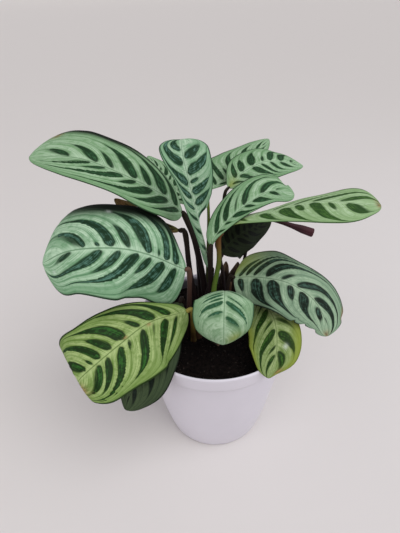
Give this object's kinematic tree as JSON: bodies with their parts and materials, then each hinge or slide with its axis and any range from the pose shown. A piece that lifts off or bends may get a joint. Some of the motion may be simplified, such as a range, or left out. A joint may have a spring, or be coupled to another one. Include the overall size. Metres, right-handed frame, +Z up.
{
  "type": "potted prayer plant",
  "caption": "Fishbone prayer plant with striped oval leaves on thin stalks, growing in a white tapered pot with a plain rim band and dark soil.",
  "frame": {"origin": "middle of the pot's flat base, on the surface that it stands on", "axes": "+Z up along the pot's axis; -Y towards the side seen from the front, where the two lowest front leaves hang over the rim; +X to the right in that view, towards the longest right-hand leaf"},
  "size_m": [0.2695, 0.2179, 0.3015],
  "materials": {
    "pot": "satin",
    "soil": "matte",
    "leaf_green": "satin",
    "leaf_lime": "satin",
    "leaf_maroon": "satin",
    "stalk_green": "satin",
    "stalk_dark": "satin",
    "dry_growth": "matte"
  },
  "bodies": {
    "root": {"pot": "pot", "soil": "soil", "leaf_upper_left": "leaf_green", "leaf_mid_left": "leaf_green", "leaf_lower_left": "leaf_lime", "leaf_lower_left_back": "leaf_green", "leaf_centre_upright": "leaf_green", "leaf_upper_right_back": "leaf_green", "leaf_upper_right": "leaf_green", "leaf_centre_right": "leaf_green", "leaf_right_long": "leaf_green", "leaf_right_shaded": "leaf_green", "leaf_right_lower": "leaf_green", "leaf_front_centre": "leaf_green", "leaf_front_right": "leaf_lime", "leaf_back_left": "leaf_green", "leaf_left_back": "leaf_green", "stalk_upper_left": "stalk_dark", "stalk_mid_left": "stalk_dark", "stalk_lower_left": "stalk_dark", "stalk_lower_left_back": "stalk_dark", "stalk_centre_upright": "stalk_dark", "stalk_upper_right_back": "stalk_dark", "stalk_upper_right": "stalk_dark", "stalk_centre_right": "stalk_dark", "stalk_right_long": "stalk_green", "stalk_right_shaded": "stalk_dark", "stalk_right_lower": "stalk_dark", "stalk_front_centre": "stalk_dark", "stalk_front_right": "stalk_dark", "stalk_back_left": "stalk_dark", "stalk_left_back": "stalk_dark", "leaf_rolled": "leaf_maroon", "stalk_rolled": "stalk_dark", "stalk_old": "dry_growth", "stump_old": "dry_growth", "sheath_dry": "dry_growth", "bract_left": "dry_growth", "bract_right": "dry_growth"}
  },
  "joints": []
}
